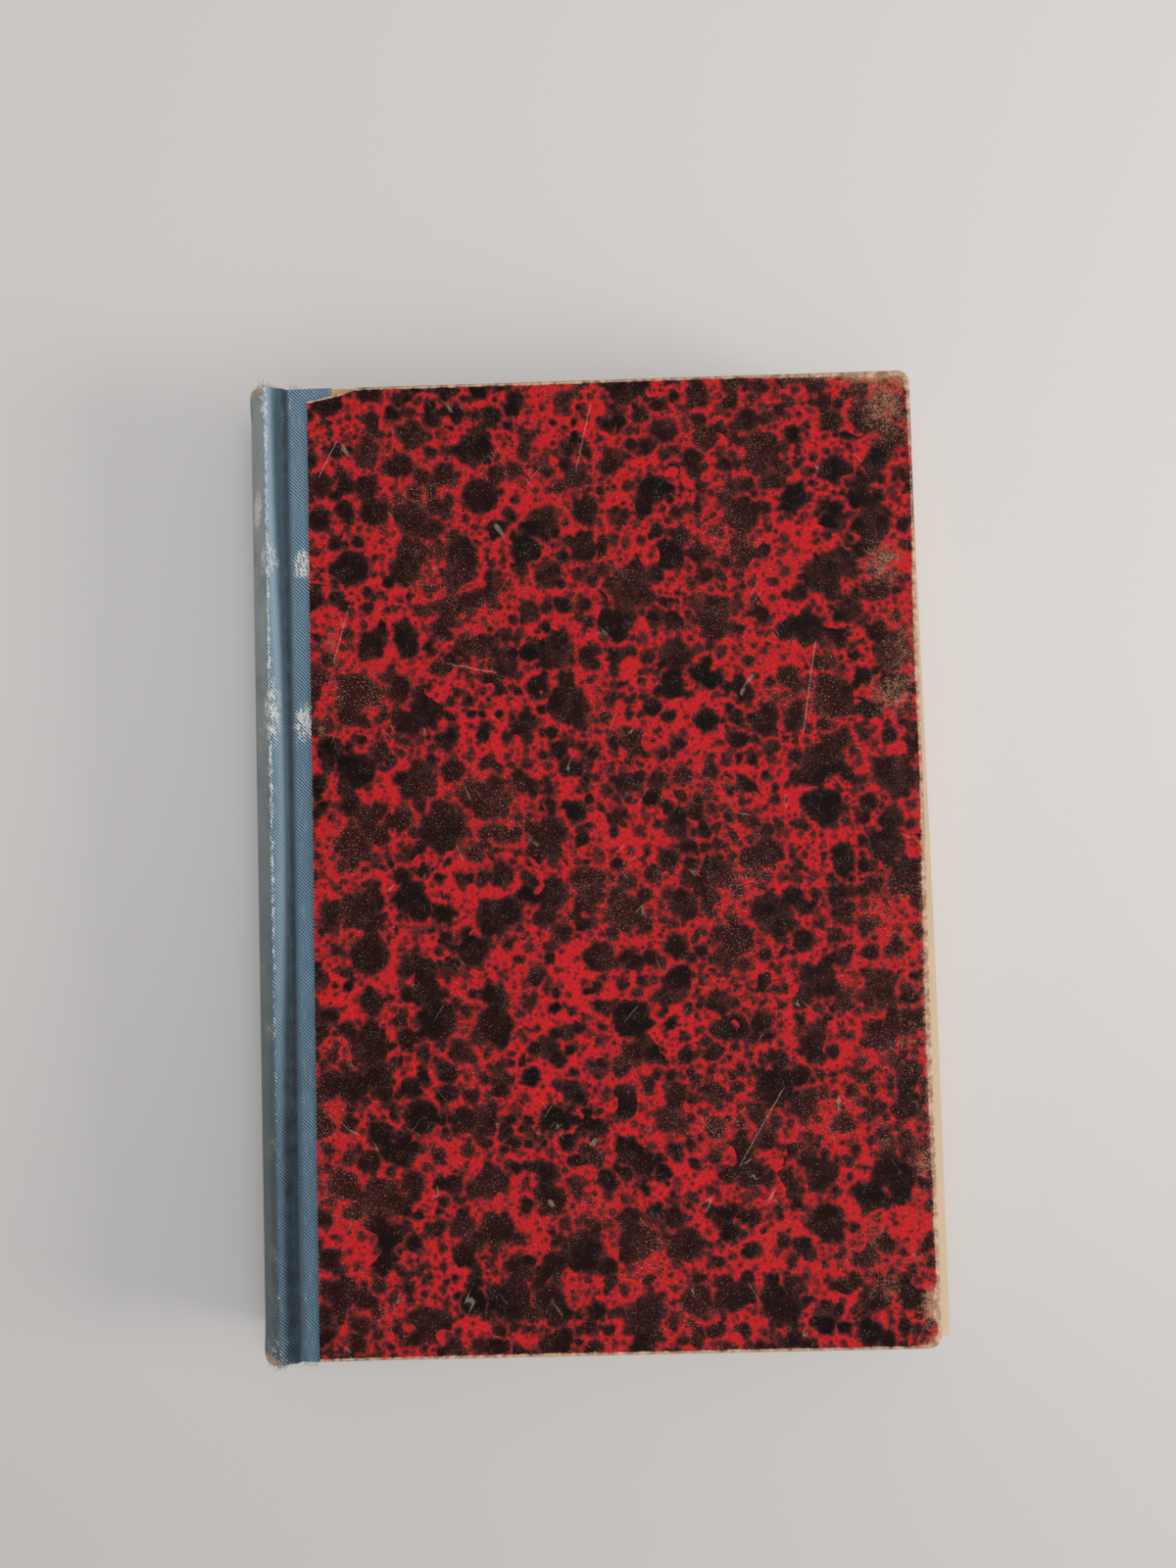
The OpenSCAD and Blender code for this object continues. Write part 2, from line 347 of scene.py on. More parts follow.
class Shader:
    """Short way to write a material's nodes: most methods add one and return its signal."""

    def __init__(self, name, roughness, specular):
        self.material = bpy.data.materials.new(name)
        self.material.use_nodes = True
        self.tree = self.material.node_tree
        self.surface = self.tree.nodes["Principled BSDF"]
        self.fill(self.surface, {"Roughness": roughness, "Specular IOR Level": specular})

    def fill(self, node, inputs):
        """Links signals to a node's inputs, or sets plain values on them."""
        for key, value in inputs.items():
            if isinstance(value, Signal):
                self.tree.links.new(value.socket, node.inputs[key])
            else:
                node.inputs[key].default_value = value

    def add(self, kind, inputs, output=0, **settings):
        """Adds a node with its inputs and settings, and returns the signal of one output."""
        node = self.tree.nodes.new("ShaderNode" + kind)
        for setting, value in settings.items():
            setattr(node, setting, value)
        self.fill(node, inputs)
        return Signal(self, node.outputs[output])

    def field(self, name):
        """Number stored at each point of the mesh."""
        return self.add("Attribute", {}, "Fac", attribute_name=name)

    def place(self, name):
        """Vector stored at each point of the mesh."""
        return self.add("Attribute", {}, "Vector", attribute_name=name)

    def position(self):
        """Place in the part, in metres."""
        return self.add("TexCoord", {}, "Object")

    def math(self, operation, *values):
        return self.add("Math", dict(enumerate(values)), operation=operation)

    def parts(self, vector):
        first = self.add("SeparateXYZ", {"Vector": vector})
        return [Signal(self, output) for output in first.socket.node.outputs]

    def turned(self, vector, angle):
        return self.add("VectorRotate", {"Vector": vector, "Angle": angle}, rotation_type="Z_AXIS")

    def noise(self, vector, size, detail=2, rough=0.5, output="Fac"):
        """Noise with a feature size in the vector's unit."""
        inputs = {"Vector": vector, "Scale": 1 / size, "Detail": detail, "Roughness": rough}
        return self.add("TexNoise", inputs, output)

    def cells(self, vector, size, randomness=1):
        """Distance to the nearest cell's centre, in cell sizes, and three random numbers of that cell."""
        inputs = {"Vector": vector, "Scale": 1 / size, "Randomness": randomness}
        chance = self.add("TexVoronoi", inputs, "Color", voronoi_dimensions="2D")
        return Signal(self, chance.socket.node.outputs["Distance"]), self.parts(chance)

    def step(self, value, low, high, start=0, end=1):
        """Smooth step from start at low to end at high."""
        inputs = dict(enumerate((value, low, high, start, end)))
        return self.add("MapRange", inputs, interpolation_type="SMOOTHSTEP")

    def blend(self, share, a, b):
        """Colour from a to b by a share. Plain colours are given as on a screen."""
        a, b = (colour if isinstance(colour, Signal) else srgb(*colour) for colour in (a, b))
        return self.add("Mix", {0: share, 6: a, 7: b}, 2, data_type="RGBA")

    def tint(self, share, colour):
        """Blends a share of another colour into the material's own."""
        self.colour = self.blend(share, self.colour, colour)

    def ramp(self, value, stops):
        signal = self.add("ValToRGB", {"Fac": value})
        elements = signal.socket.node.color_ramp.elements
        while len(elements) < len(stops):
            elements.new(0.5)
        for element, (place, colour) in zip(elements, stops):
            element.position = place
            element.color = srgb(*colour)
        return signal

    def bump(self, height, depth, strength=1):
        """Bump from a height between 0 and 1 over a depth in millimetres."""
        return self.add("Bump", {"Strength": strength, "Distance": depth * MM, "Height": height})

    def finish(self, **inputs):
        """Puts the colour and the other inputs of the surface in place."""
        self.fill(self.surface, {"Base Color": self.colour, **inputs})
        return self.material


# Sprinkled paper

# Drops from large to tiny: cell size, share of cells with one, least and most radius, soft edge, rim, core
DROP_LAYERS = [
    (13, 0.62, 0.2, 0.32, 0.6, 0.8, 1),
    (8.5, 0.7, 0.2, 0.34, 0.55, 0.72, 0.98),
    (6, 0.7, 0.2, 0.34, 0.5, 0.64, 0.94),
    (4.4, 0.7, 0.2, 0.34, 0.46, 0.56, 0.86),
    (3.2, 0.66, 0.18, 0.36, 0.46, 0.52, 0.76),
    (2.3, 0.64, 0.18, 0.36, 0.42, 0.48, 0.64),
    (1.6, 0.56, 0.18, 0.36, 0.34, 0.42, 0.52),
    (1.1, 0.46, 0.18, 0.36, 0.26, 0.34, 0.42),
]

# Long scratches on the front paper, from one end to the other in X and Y
SCRATCHES = [
    (44.9, 42.2, 41.7, 23.1),
    (2.1, 90.6, -1.4, 76.6),
    (-48.5, 84.7, -52.6, 76.8),
    (-47, 50.7, -50.2, 39.6),
    (-28, 39.4, -17.6, 37.2),
    (-26.7, 4, -25.3, 0.2),
    (27.9, 8.6, 31.4, 7.8),
    (36, -44.5, 26.5, -60),
]


def sprinkled_drops(s, flat, ripple):
    """How dark the drops make the paper, from 0 to 1: large ones bent out of round, small ones less so."""
    wave = s.noise(flat, 2.6, output="Color") - 0.5
    bent = flat + (wave * 1.6 + ripple * 0.5)
    nearly_round = flat + ripple * 0.35
    crowd = s.noise(flat, 16)
    clear = None
    for number, (size, share, least, most, soft, rim, core) in enumerate(DROP_LAYERS):
        place = (bent if size > 3 else nearly_round) + (13.7 * number, 29.3 * number, 0)
        distance, chance = s.cells(place, size, randomness=0.75)
        radius = chance[0] * (most - least) + least
        inside = radius - distance
        blur = soft / size
        faint = 0.7 if size > 5 else 0.54
        outer = s.step(inside, -blur, blur, 0, rim) * (chance[1] * (1.08 - faint) + faint)
        inner = s.step(inside - radius * 0.3, -blur, blur, 0, core - rim) * (chance[1] * 0.8 + 0.4)
        is_there = s.math("LESS_THAN", chance[2], crowd * 1.6 + (share - 0.8))
        passed = 1 - s.math("MINIMUM", outer + inner, 1) * is_there
        clear = passed if clear is None else clear * passed
    return 1 - clear


def hairlines(s, flat):
    """Long thin contours of stretched noise, in patches."""
    lines = 0
    for angle, place in ((0.95, 5), (2.15, 61)):
        stretched = s.turned(flat + (place, place, 0), angle) * (0.13, 1, 1)
        level = abs(s.noise(stretched, 4.2, 1) - 0.5)
        where = s.step(s.noise(flat + (place, 0, 0), 8), 0.63, 0.7)
        lines = s.math("MAXIMUM", lines, s.step(level, 0.001, 0.009, 0.7, 0) * where)
    return lines


def long_scratches(s, place):
    """Thin lines between the ends that SCRATCHES gives."""
    side, up, _ = s.parts(place)
    lines = 0
    for x0, y0, x1, y1 in SCRATCHES:
        reach = math.hypot(x1 - x0, y1 - y0) / 2
        dx, dy = (x1 - x0) / (2 * reach), (y1 - y0) / (2 * reach)
        along = abs(side * dx + up * dy - (dx * (x0 + x1) + dy * (y0 + y1)) / 2)
        aside = abs(up * dx - side * dy + (dy * x0 - dx * y0))
        line = s.step(aside, 0.03, 0.13, 0.8, 0) * s.step(along, reach - 1, reach, 1, 0)
        lines = s.math("MAXIMUM", lines, line)
    return lines


def sprinkled_paper():
    """Red paper sprinkled with black drops, rubbed at its edges to the board's tan."""
    s = Shader("sprinkled_paper", 0.72, 0.07)
    flat = s.place("flat")
    rub = s.field("rub")
    ripple = s.noise(flat, 0.7, output="Color") - 0.5
    grain = s.noise(flat, 0.2, 2, 0.7)
    mottle = s.noise(flat, 0.6, 3, 0.65)
    tone = s.noise(flat, 20, 3, 0.6)
    dark = sprinkled_drops(s, flat, ripple) + (grain * 0.64 - 0.3) + (mottle * 0.9 - 0.38)
    s.colour = s.ramp(dark, [
        (0, (213, 36, 41)), (0.2, (166, 32, 37)), (0.42, (114, 35, 35)),
        (0.62, (72, 31, 29)), (0.8, (42, 22, 20)), (1, (13, 7, 6))])
    s.tint(s.step(tone, 0.35, 0.7, 0, 0.22), (96, 28, 28))

    # Clusters of pale specks in the dark drops, and a few cream flecks
    speck = s.step(s.noise(flat, 0.3, 1), 0.55, 0.7, 0, 0.55)
    cluster = s.step(s.noise(flat + (37, 11, 0), 3.4, 3, 0.6), 0.46, 0.66)
    s.tint(speck * cluster * s.step(dark, 0.3, 0.9), (140, 106, 94))
    fleck = s.noise(flat, 0.34, 2, 0.6) * 0.72 + tone * 0.28
    s.tint(s.step(fleck, 0.605, 0.67, 0, 0.62), (186, 148, 128))

    scratch = s.math("MAXIMUM", hairlines(s, flat), long_scratches(s, flat + ripple * 0.6))
    scratch = scratch * s.step(grain, 0.36, 0.6, 0, 0.75)
    s.tint(scratch, (206, 176, 152))

    # Wear: rubbed patches, and edges worn through to pale fibres and to the board
    coarse = s.noise(flat, 1.9, 4, 0.72)
    fine = s.noise(flat, 0.32, 3, 0.7)
    scuff = rub + (fine * 2 - 1) + (coarse * 1.4 - 0.7)
    fibre = s.blend(s.step(scuff, 0.4, 1), (118, 72, 58), (186, 138, 112))
    s.tint(s.step(scuff, 0.34, 0.66, 0, 0.8), fibre)
    near_edge = coarse * 0.9 - abs(s.field("edge") - 0.3) + (fine * 0.6 - 0.6) + rub * 1.1
    worn = s.step(near_edge, -0.05, 0.4)
    board = s.blend(s.step(coarse, 0.35, 0.65), (152, 112, 88), (208, 174, 148))
    s.tint(worn, board)
    height = mottle * 0.5 + grain * 0.5 - worn * 0.6 - scratch * 0.5
    return s.finish(Normal=s.bump(height, 0.06, 0.7), Roughness=s.step(dark, 0, 1, 0.76, 0.64))


# Cloth, thread, pages, endpaper and board

THREAD_PITCH = 0.236


def twill_cloth():
    """Blue twill with pale threads where it is rubbed through."""
    s = Shader("twill_cloth", 0.85, 0.15)
    s.fill(s.surface, {"Sheen Weight": 0.12, "Sheen Roughness": 0.5})
    flat = s.place("flat")
    fade_and_painted_light = s.field("fade_and_painted_light")
    along, across, _ = s.parts(flat)

    # Two-over-one twill: threads both ways, with the float stepping on from row to row
    diagonal = s.noise(flat, 1.6) * 0.22 + (along + across) / (3 * THREAD_PITCH)
    rib = s.math("COSINE", diagonal * (2 * math.pi)) * 0.5 + 0.5
    warp = abs(s.math("SINE", along * (math.pi / THREAD_PITCH)))
    weft = abs(s.math("SINE", across * (math.pi / THREAD_PITCH)))
    yarn = warp * rib + weft * (1 - rib)

    # Colour: ribs paler than the lines between them, all paler towards the head
    slub = s.noise(flat * (1, 0.12, 1), 0.4)
    patch = s.noise(flat, 9, 3, 0.6)
    light = patch * 0.5 + s.step(across, -95, 95, 0, 0.55)
    ribs = s.blend(light, (94, 125, 147), (134, 164, 184))
    lines = s.blend(light, (47, 65, 78), (62, 83, 98))
    s.colour = s.blend(s.step(rib, 0.15, 0.85), lines, ribs)
    s.tint(s.step(slub, 0.5, 0.75) * 0.3, (150, 168, 180))

    # The back of the spine: bleached and stained, and painted lighter to stand in for light on its shaded
    # side
    side_light = patch * 0.3 + s.step(across, -70, 80, -0.15, 0.8)
    bleached_and_lit = s.blend(side_light, (68, 74, 74), (164, 166, 160))
    stain = s.noise(flat + (71, 0, 0), 11, 4, 0.65)
    bleached_and_lit = s.blend(s.step(stain, 0.5, 0.68, 0, 0.4), bleached_and_lit, (158, 152, 138))
    bleached_and_lit = s.blend(s.step(stain, 0.32, 0.5, 0.45, 0), bleached_and_lit, (62, 68, 70))
    s.tint(fade_and_painted_light, s.blend(rib * 0.3, bleached_and_lit, (150, 152, 147)))

    # Painted highlight on the polished ridge, painted shade with grime in the groove, and ends worn through
    # to tan
    s.tint(s.field("polish_and_painted_highlight"), s.blend(rib, (142, 163, 178), (172, 191, 203)))
    grime_and_shade = s.field("dirt_and_shade") * s.step(s.noise(flat, 3, 3), 0.25, 0.7, 0.7, 1)
    s.tint(grime_and_shade, (38, 41, 44))
    threadbare = s.step(s.field("tan") + (patch * 0.8 - 0.4), 0.25, 0.7, 0, 0.85)
    s.tint(threadbare, s.blend(slub, (128, 108, 86), (206, 184, 152)))

    # Rubbed patches: the colour goes first on the ribs, then everywhere
    fine = s.noise(flat, 0.45, 3, 0.7)
    coarse = s.noise(flat, 2.2, 4, 0.7)
    dash = s.step(s.noise(flat * (1.6, 0.5, 1), 0.7), 0.3, 0.7, 0.5, 1.5)
    worn = s.field("rub") * dash + fade_and_painted_light * s.step(stain, 0.52, 0.7, 0, 0.42)
    worn = worn + (fine * 0.8 - 0.4) + (coarse * 1.4 - 0.7) + (rib * 0.3 - 0.15)
    bare = s.step(worn, 0.36, 0.66, 0, 0.9)
    s.tint(bare, s.blend(fine, (184, 188, 188), (226, 226, 220)))
    return s.finish(Normal=s.bump(rib * 0.65 + yarn * 0.35, 0.12, 0.9))


def loose_thread():
    """Ends of single threads, some still blue and some worn pale."""
    s = Shader("loose_thread", 0.9, 0.1)
    place = s.place("place")
    s.colour = s.blend(s.field("tone"), (92, 108, 120), (222, 214, 198))
    s.tint(s.noise(place, 0.3), (168, 150, 126))
    return s.finish(Normal=s.bump(s.noise(place, 0.05, 1), 0.02))


def page_edges():
    """Edges of old pages: cream leaves with browned and dusty ones between them."""
    s = Shader("page_edges", 0.8, 0.2)
    place = s.place("place")
    leaf = s.noise(place * (0.02, 0.02, 3.2), 1, 3, 0.65)
    cloud = s.noise(place, 16, 4, 0.6)
    speck = s.noise(place, 0.7, 3, 0.7)
    s.colour = s.ramp(leaf, [
        (0.25, (202, 176, 148)), (0.42, (226, 207, 184)), (0.58, (237, 223, 205)),
        (0.8, (244, 234, 220))])
    s.tint(s.step(cloud, 0.45, 0.75, 0, 0.35), (196, 166, 136))
    s.tint(s.step(speck, 0.66, 0.74, 0, 0.4), (128, 94, 64))
    # Dust on the leaves' edges at head and tail; on the pages this field holds dust only, no shade
    s.tint(s.field("dirt_and_shade"), (132, 110, 88))
    return s.finish(Normal=s.bump(leaf, 0.05, 0.5))


def endpaper():
    """Aged endpaper, browned towards its edges, with foxing."""
    s = Shader("endpaper", 0.75, 0.2)
    flat = s.place("flat")
    cloud = s.noise(flat, 24, 4, 0.6)
    grain = s.noise(flat, 0.3, 3, 0.6)
    s.colour = s.blend(cloud, (222, 206, 178), (238, 228, 208))
    toned = cloud * 10 - s.field("edge")
    s.tint(s.step(toned, -6, 8, 0, 0.6), (206, 176, 138))
    bent = flat + s.noise(flat, 1.2, 3, output="Color") * 1.1
    distance, chance = s.cells(bent, 9)
    size = s.math("POWER", chance[0], 7) * 0.16
    foxed = s.step(size - distance, -0.05, 0.06) * (chance[1] * 0.35 + 0.12)
    s.tint(foxed, (164, 106, 58))
    s.tint(grain * 0.12, (150, 120, 86))
    return s.finish(Normal=s.bump(grain, 0.02, 0.6))


def strawboard():
    """Straw-coloured board with fibres, and layers along its edges."""
    s = Shader("strawboard", 0.88, 0.15)
    place = s.place("place")
    layer = s.noise(place * (0.05, 0.05, 4), 1, 3, 0.6)
    fibre = s.noise(place * (1, 2.6, 1), 0.6, 3, 0.7)
    s.colour = s.blend(layer, (160, 122, 80), (206, 170, 124))
    s.tint(s.step(fibre, 0.55, 0.75, 0, 0.6), (226, 198, 158))
    return s.finish(Normal=s.bump(layer + fibre, 0.08, 0.8))


def plain_weave(name, thread, pale, deep):
    """Open gauze or card surface for the pieces inside the spine, from their place in the part."""
    s = Shader(name, 0.9, 0.1)
    place = s.position() * (1 / MM)
    _, across, up = s.parts(place)
    weave = s.math("SINE", across * (math.pi / thread)) * s.math("SINE", up * (math.pi / thread))
    s.colour = s.blend(s.noise(place, 6, 3), deep, pale)
    s.tint(s.step(weave, 0, 0.8, 0, 0.35), deep)
    return s.finish(Normal=s.bump(weave, 0.08, 0.6))


def floor_paint():
    """Plain pale surface under the book, with painted shade that darkens it towards the front."""
    s = Shader("pale_floor", 0.7, 0.2)
    place = s.position()
    s.colour = s.blend(s.noise(place, 0.4), (211, 208, 206), (216, 214, 213))
    # Painted shade: darker towards the front, standing in for light falling off there
    painted_falloff_shade = s.step(s.parts(place)[1], -0.17, 0.06, 0.3, 0)
    s.tint(painted_falloff_shade, (160, 158, 157))
    return s.finish()


PAPER = sprinkled_paper()
CLOTH = twill_cloth()
THREAD = loose_thread()
PAGES = page_edges()
ENDPAPER = endpaper()
BOARD = strawboard()

for node, material in (
    ("spine_mull", plain_weave("gauze", 0.5, (206, 192, 160), (166, 148, 112))),
    ("spine_inlay", plain_weave("spine_card", 0.9, (186, 156, 116), (140, 108, 72))),
):
    frame["nodes"][node].data.materials.clear()
    frame["nodes"][node].data.materials.append(material)


# Cloth of the case: one half from mid spine over the front joint, the other over the back joint

# Rubbed patches on the front half: x from the hinge line, y, half width, half height, strength
CLOTH_PATCHES = [
    (-3, 61.4, 1.8, 3.4, 0.52),
    (4.2, 59.9, 2, 3, 0.66),
    (-2.8, 31.1, 1.6, 7, 0.54),
    (3.8, 28.7, 2, 3.4, 0.66),
    (-5.6, 72, 1.2, 4, 0.46),
    (-3.4, 93, 0.8, 3.5, 0.55),
    (2, 93, 0.5, 3.5, 0.42),
    (-4, -93, 2.5, 3, 0.3),
    (1.9, -83, 0.8, 1, 0.4),
]
# Half width of the strip of the groove at the hinge line, and a second half width whose values the script
# throws away
HINGE_HALF = 0.3
HINGE_BEND = 0.2
# Radius of the bend where the cloth is turned in
END_BEND = 0.3
# Points of the cloth from tail to head between the two bends, and thickness of the modelled sheet
CLOTH_ROWS = 171
CLOTH_SHEET_T = CLOTH_T * 0.8
# How far the ends of the cloth may lift, at the spine's caps and in the grooves
CAP_LIFT = 0.4
JOINT_LIFT = 0.7
# Angles from mid spine to the section's second and third points, so that the halves meet squarely
SEAM_ANGLES = (0.002, 0.02)
# Pulls of the curves over the ridge and up to the board
RIDGE_LEAVE = 1.1 * RIDGE_W
RIDGE_ARRIVE = 0.9 * RIDGE_W
CLIMB_PULL = 1.4
# Longest step on the groove's floor, and how far past the board's edge the cloth gets level
FLOOR_STEP = 0.4
BROW_SET = 0.35


def cloth_path(joint_x):
    """Section of the cloth in X and Z: round of the spine, ridge, groove, then edge and face of the board."""
    seam = arc(SPINE_CX, MID_Z, SPINE_R, math.pi, math.pi - SEAM_ANGLES[0], 1)
    round_part = arc(SPINE_CX, MID_Z, SPINE_R, math.pi - SEAM_ANGLES[1], SHOULDER_A, 24)
    hinge_start = joint_x - HINGE_HALF
    groove = np.array([min(SHOULDER_X + RIDGE_W, hinge_start), GROOVE_Z])
    leave = RIDGE_LEAVE * np.array([math.sin(SHOULDER_A), -math.cos(SHOULDER_A)])
    ridge = hermite(round_part[-1], leave, groove, np.array([RIDGE_ARRIVE, 0]), 30)
    floor_steps = 1 + math.ceil((hinge_start - groove[0]) / FLOOR_STEP)
    groove_floor = pairs(np.linspace(groove[0], hinge_start, floor_steps)[1:], GROOVE_Z)
    foot = np.array([joint_x + HINGE_HALF, GROOVE_Z])
    brow = np.array([joint_x + BOARD_GAP + BROW_SET, BOARD_TOP])
    climb = hermite(foot, np.array([CLIMB_PULL, 0]), brow, np.array([CLIMB_PULL, 0]), 18)
    face = pairs(np.linspace(brow[0], joint_x + CLOTH_END, 14)[1:], BOARD_TOP)
    return np.concatenate([seam, round_part, ridge[1:], groove_floor, climb, face])


def path_normals(path):
    """Unit vectors out of the cloth's section, on its left."""
    return -right_of(np.gradient(path, axis=0))


def turned_in(path, normals):
    """Where the turned-in end lies behind the section: under the card of the spine, then under the board."""
    under_inlay = path - normals * (2 * CLOTH_T + INLAY_T)
    under_board = pairs(path[:, 0], BOARD_UNDER - CLOTH_T)
    share = smooth(path[:, 0], SHOULDER_X, SHOULDER_X + 2.2)[:, None]
    return under_inlay + (under_board - under_inlay) * share


def end_rows(half, depth):
    """Rows over one end of the cloth: pairs of distance from mid height and depth behind the face."""
    bend = min(END_BEND, depth / 2)
    rows = [(half - bend + out, down) for out, down in rounded_edge(bend, depth, 5)]
    return rows + [(half - 4, depth), (half - TURN_IN, depth)]


def cloth_rows(tail_half, tail_depth, head_half, head_depth):
    """Pairs of Y and depth behind the face, from the tail's turn-in over the face to the head's turn-in."""
    tail = [(-y, depth) for y, depth in reversed(end_rows(tail_half, tail_depth))]
    face = np.linspace(END_BEND - tail_half, head_half - END_BEND, CLOTH_ROWS)[1:-1]
    return np.concatenate([tail, pairs(face, 0), end_rows(head_half, head_depth)])


def cap_share(x):
    """How far a place on the section belongs to the caps that swell at the spine's ends."""
    return bell(x, SHOULDER_X - 2, 2.2)


def end_half(x, joint_x, low=0):
    """Distance of the cloth's ends from mid height: longer on the spine than on the board."""
    on_spine = smooth(-x, -SHOULDER_X - 1, -SPINE_LOW[0])
    beside = 1 - smooth(x - joint_x, -0.5, 2.5)
    return CLOTH_HALF + (0.6 + 0.7 * cap_share(x) - 0.5 * on_spine + 0.3 * low) * beside


def cloth_wear_and_light(x, joint_x, y, from_end, back):
    """Fields of wear, painted highlight and painted shade, from a column of places on the section and the
    rows along Y that belong to them.
    """
    ridge = x - SHOULDER_X - RIDGE_W - FRONT_GROOVE
    from_hinge = x - joint_x
    fuller = 0 if back else bell(y, 15, 45)
    high = smooth(y, -70, 30)
    lower = smooth(-y, -5, 70)
    ending = smooth(-from_end, -1.2, -0.1)

    # Rubbed white: a line of threads on the crest, the ends, and patches
    rub = (0.16 + 0.44 * high) * bell(ridge, -3.1, 0.45)
    rub = rub + (0.16 + 0.2 * bell(ridge, -5.5, 2.2)) * ending
    if not back:
        for patch_x, patch_y, width, height, strength in CLOTH_PATCHES:
            reach = ((from_hinge - patch_x) / width) ** 2 + ((y - patch_y) / height) ** 2
            rub = np.maximum(rub, strength * np.exp(-reach ** 2 * 0.6))

    # Painted highlight: polished pale blue on the ridge. Painted shade with grime: in the groove, on the
    # lower ridge and beside the crest
    polish_and_painted_highlight = (0.06 + 0.56 * smooth(y, -70, 20)) * bell(ridge, 1.5 * fuller - 2.8, 0.8)
    groove_left = -1.9 + 1.8 * fuller
    soil_and_shade = 0.42 * smooth(ridge, groove_left - 0.7, groove_left + 0.4) + 0.34 * smooth(ridge, -0.6, 0.3)
    soil_and_shade = np.minimum(soil_and_shade * (1 + 0.1 * lower) + 0.42 * lower * smooth(ridge, -4.1, -3.3), 0.86)
    soil_and_shade = soil_and_shade * (1 - smooth(from_hinge, 0.9 - 0.7 * lower, 1.9 - 0.7 * lower))
    soil_and_shade = soil_and_shade + 0.45 * lower * bell(ridge, -4.2, 0.6)

    # Tan where the corners of the spine are worn through
    tan = bell(ridge, -5.2, 1.9) * smooth(-from_end, -3.2, -0.4) + 0.3 * ending * (ridge < 0)
    return {"rub": rub, "polish_and_painted_highlight": polish_and_painted_highlight, "dirt_and_shade": soil_and_shade, "tan": tan}


def case_cloth(side):
    """Half of the case cloth as one thin closed sheet, turned in at head and tail."""
    back = side == "back"
    joint_x = HINGE_X[side]
    path = cloth_path(joint_x)
    normals = path_normals(path)
    lengths = path_lengths(path)[:, None]
    way = turned_in(path, normals) - path
    depths = np.linalg.norm(way, axis=1, keepdims=True)
    way /= depths
    x, z = path[:, :1], path[:, 1:]
    from_hinge = x - joint_x

    # Reach and depth of the ends at tail and head: longer in the low joint, the board's own under the paper
    low = np.clip((BOARD_TOP - z) / 2.2, 0, 1) * smooth(x, SHOULDER_X, SHOULDER_X + 1.5)
    low = low * (1 - smooth(from_hinge, 0.3, 2))
    under_paper = from_hinge > PAPER_EDGE - 0.1 - (0 if back else PAPER_SKEW / 2)
    seen_half = end_half(x, joint_x, low)
    tail_half = np.where(under_paper, BOARD_HALF + 0.1, seen_half)
    tail_depth = np.where(under_paper, BOARD_TOP - BOARD_UNDER + 0.05, depths)
    head_half, head_depth = (tail_half, tail_depth) if back else (seen_half, depths)
    ends = np.hstack([tail_half, tail_depth, head_half, head_depth])
    rows = np.array([cloth_rows(*end) for end in ends])
    y, depth = rows[..., 0], rows[..., 1]
    from_end = np.where(y > 0, head_half - y, tail_half + y)

    # The crest waves, the caps swell, the groove's slope is fuller at mid height, and the ends are ragged
    at_end = smooth(-from_end, -5, -0.5)
    crest = bell(x, SHOULDER_X + 0.5, 0.8)
    slope = bell(from_hinge, -1.2, 0.8) * smooth(-from_hinge, 0.3, 0.8) * (not back)
    lift = 0.1 * crest * wobble(y / 14, y * 0, 4 + 9 * back)
    lift = lift + CAP_LIFT * cap_share(x) * at_end + 0.45 * slope * bell(y, 15, 45)
    ragged = 0.16 * wobble(y * 0 + lengths * 0.45, np.sign(y) * 3, 8 + 9 * back) * ~under_paper
    out_x, out_z = (depth * way[:, k:k + 1] + lift * normals[:, k:k + 1] for k in (0, 1))
    out_y = np.sign(y) * ragged * smooth(-from_end, -2, 0)
    points = np.stack([x + out_x, y + out_y, z + out_z + JOINT_LIFT * low * at_end], 2)
    points, faces = thicken(points.reshape(-1, 3), grid_faces(*y.shape), CLOTH_SHEET_T)

    # The back of the strip at the hinge line is set 0.1 mm towards that line, to keep a thickness there
    turning = np.where(np.abs(from_hinge) < HINGE_HALF + 0.01, -0.1 * np.sign(from_hinge), 0)
    points[y.size:, 0] += (turning + 0 * y).ravel()
    if back:
        points, faces = mirrored(points, faces)

    # Place on the flat cloth, wear, painted highlight and painted shade on the outside, and fading with
    # painted light at the back of the spine
    run = np.array([path_lengths(row) for row in rows])
    run -= run[:, [run.shape[1] // 2]]
    outside = 1 - smooth(depth, 0.5 * END_BEND, 2 * END_BEND)
    wear_and_light = cloth_wear_and_light(x, joint_x, y, from_end, back)
    fields = {name: (values * outside).ravel() for name, values in wear_and_light.items()}
    fields["fade_and_painted_light"] = (0.75 * smooth(-x, -SHOULDER_X - 0.8, -SHOULDER_X + 0.5) + 0 * y).ravel()
    along = (-lengths if back else lengths) + 0 * y
    fields["flat"] = np.stack([along, run, 0 * y], 2).reshape(-1, 3)
    piece = make_piece(side + "_case_cloth", points, faces, CLOTH, both_sides(fields))
    (joint_x - HINGE_BEND) * MM
    (joint_x + HINGE_BEND) * MM
    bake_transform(piece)
    end_length = TURN_IN + float(np.mean(depths[~under_paper]))
    return piece


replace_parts(case_cloth("front"), "front_cloth", "spine_cloth")
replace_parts(case_cloth("back"), "back_cloth")


# Loose threads at the ends of the cloth

THREAD_RINGS = 4
THREAD_SIDES = 5


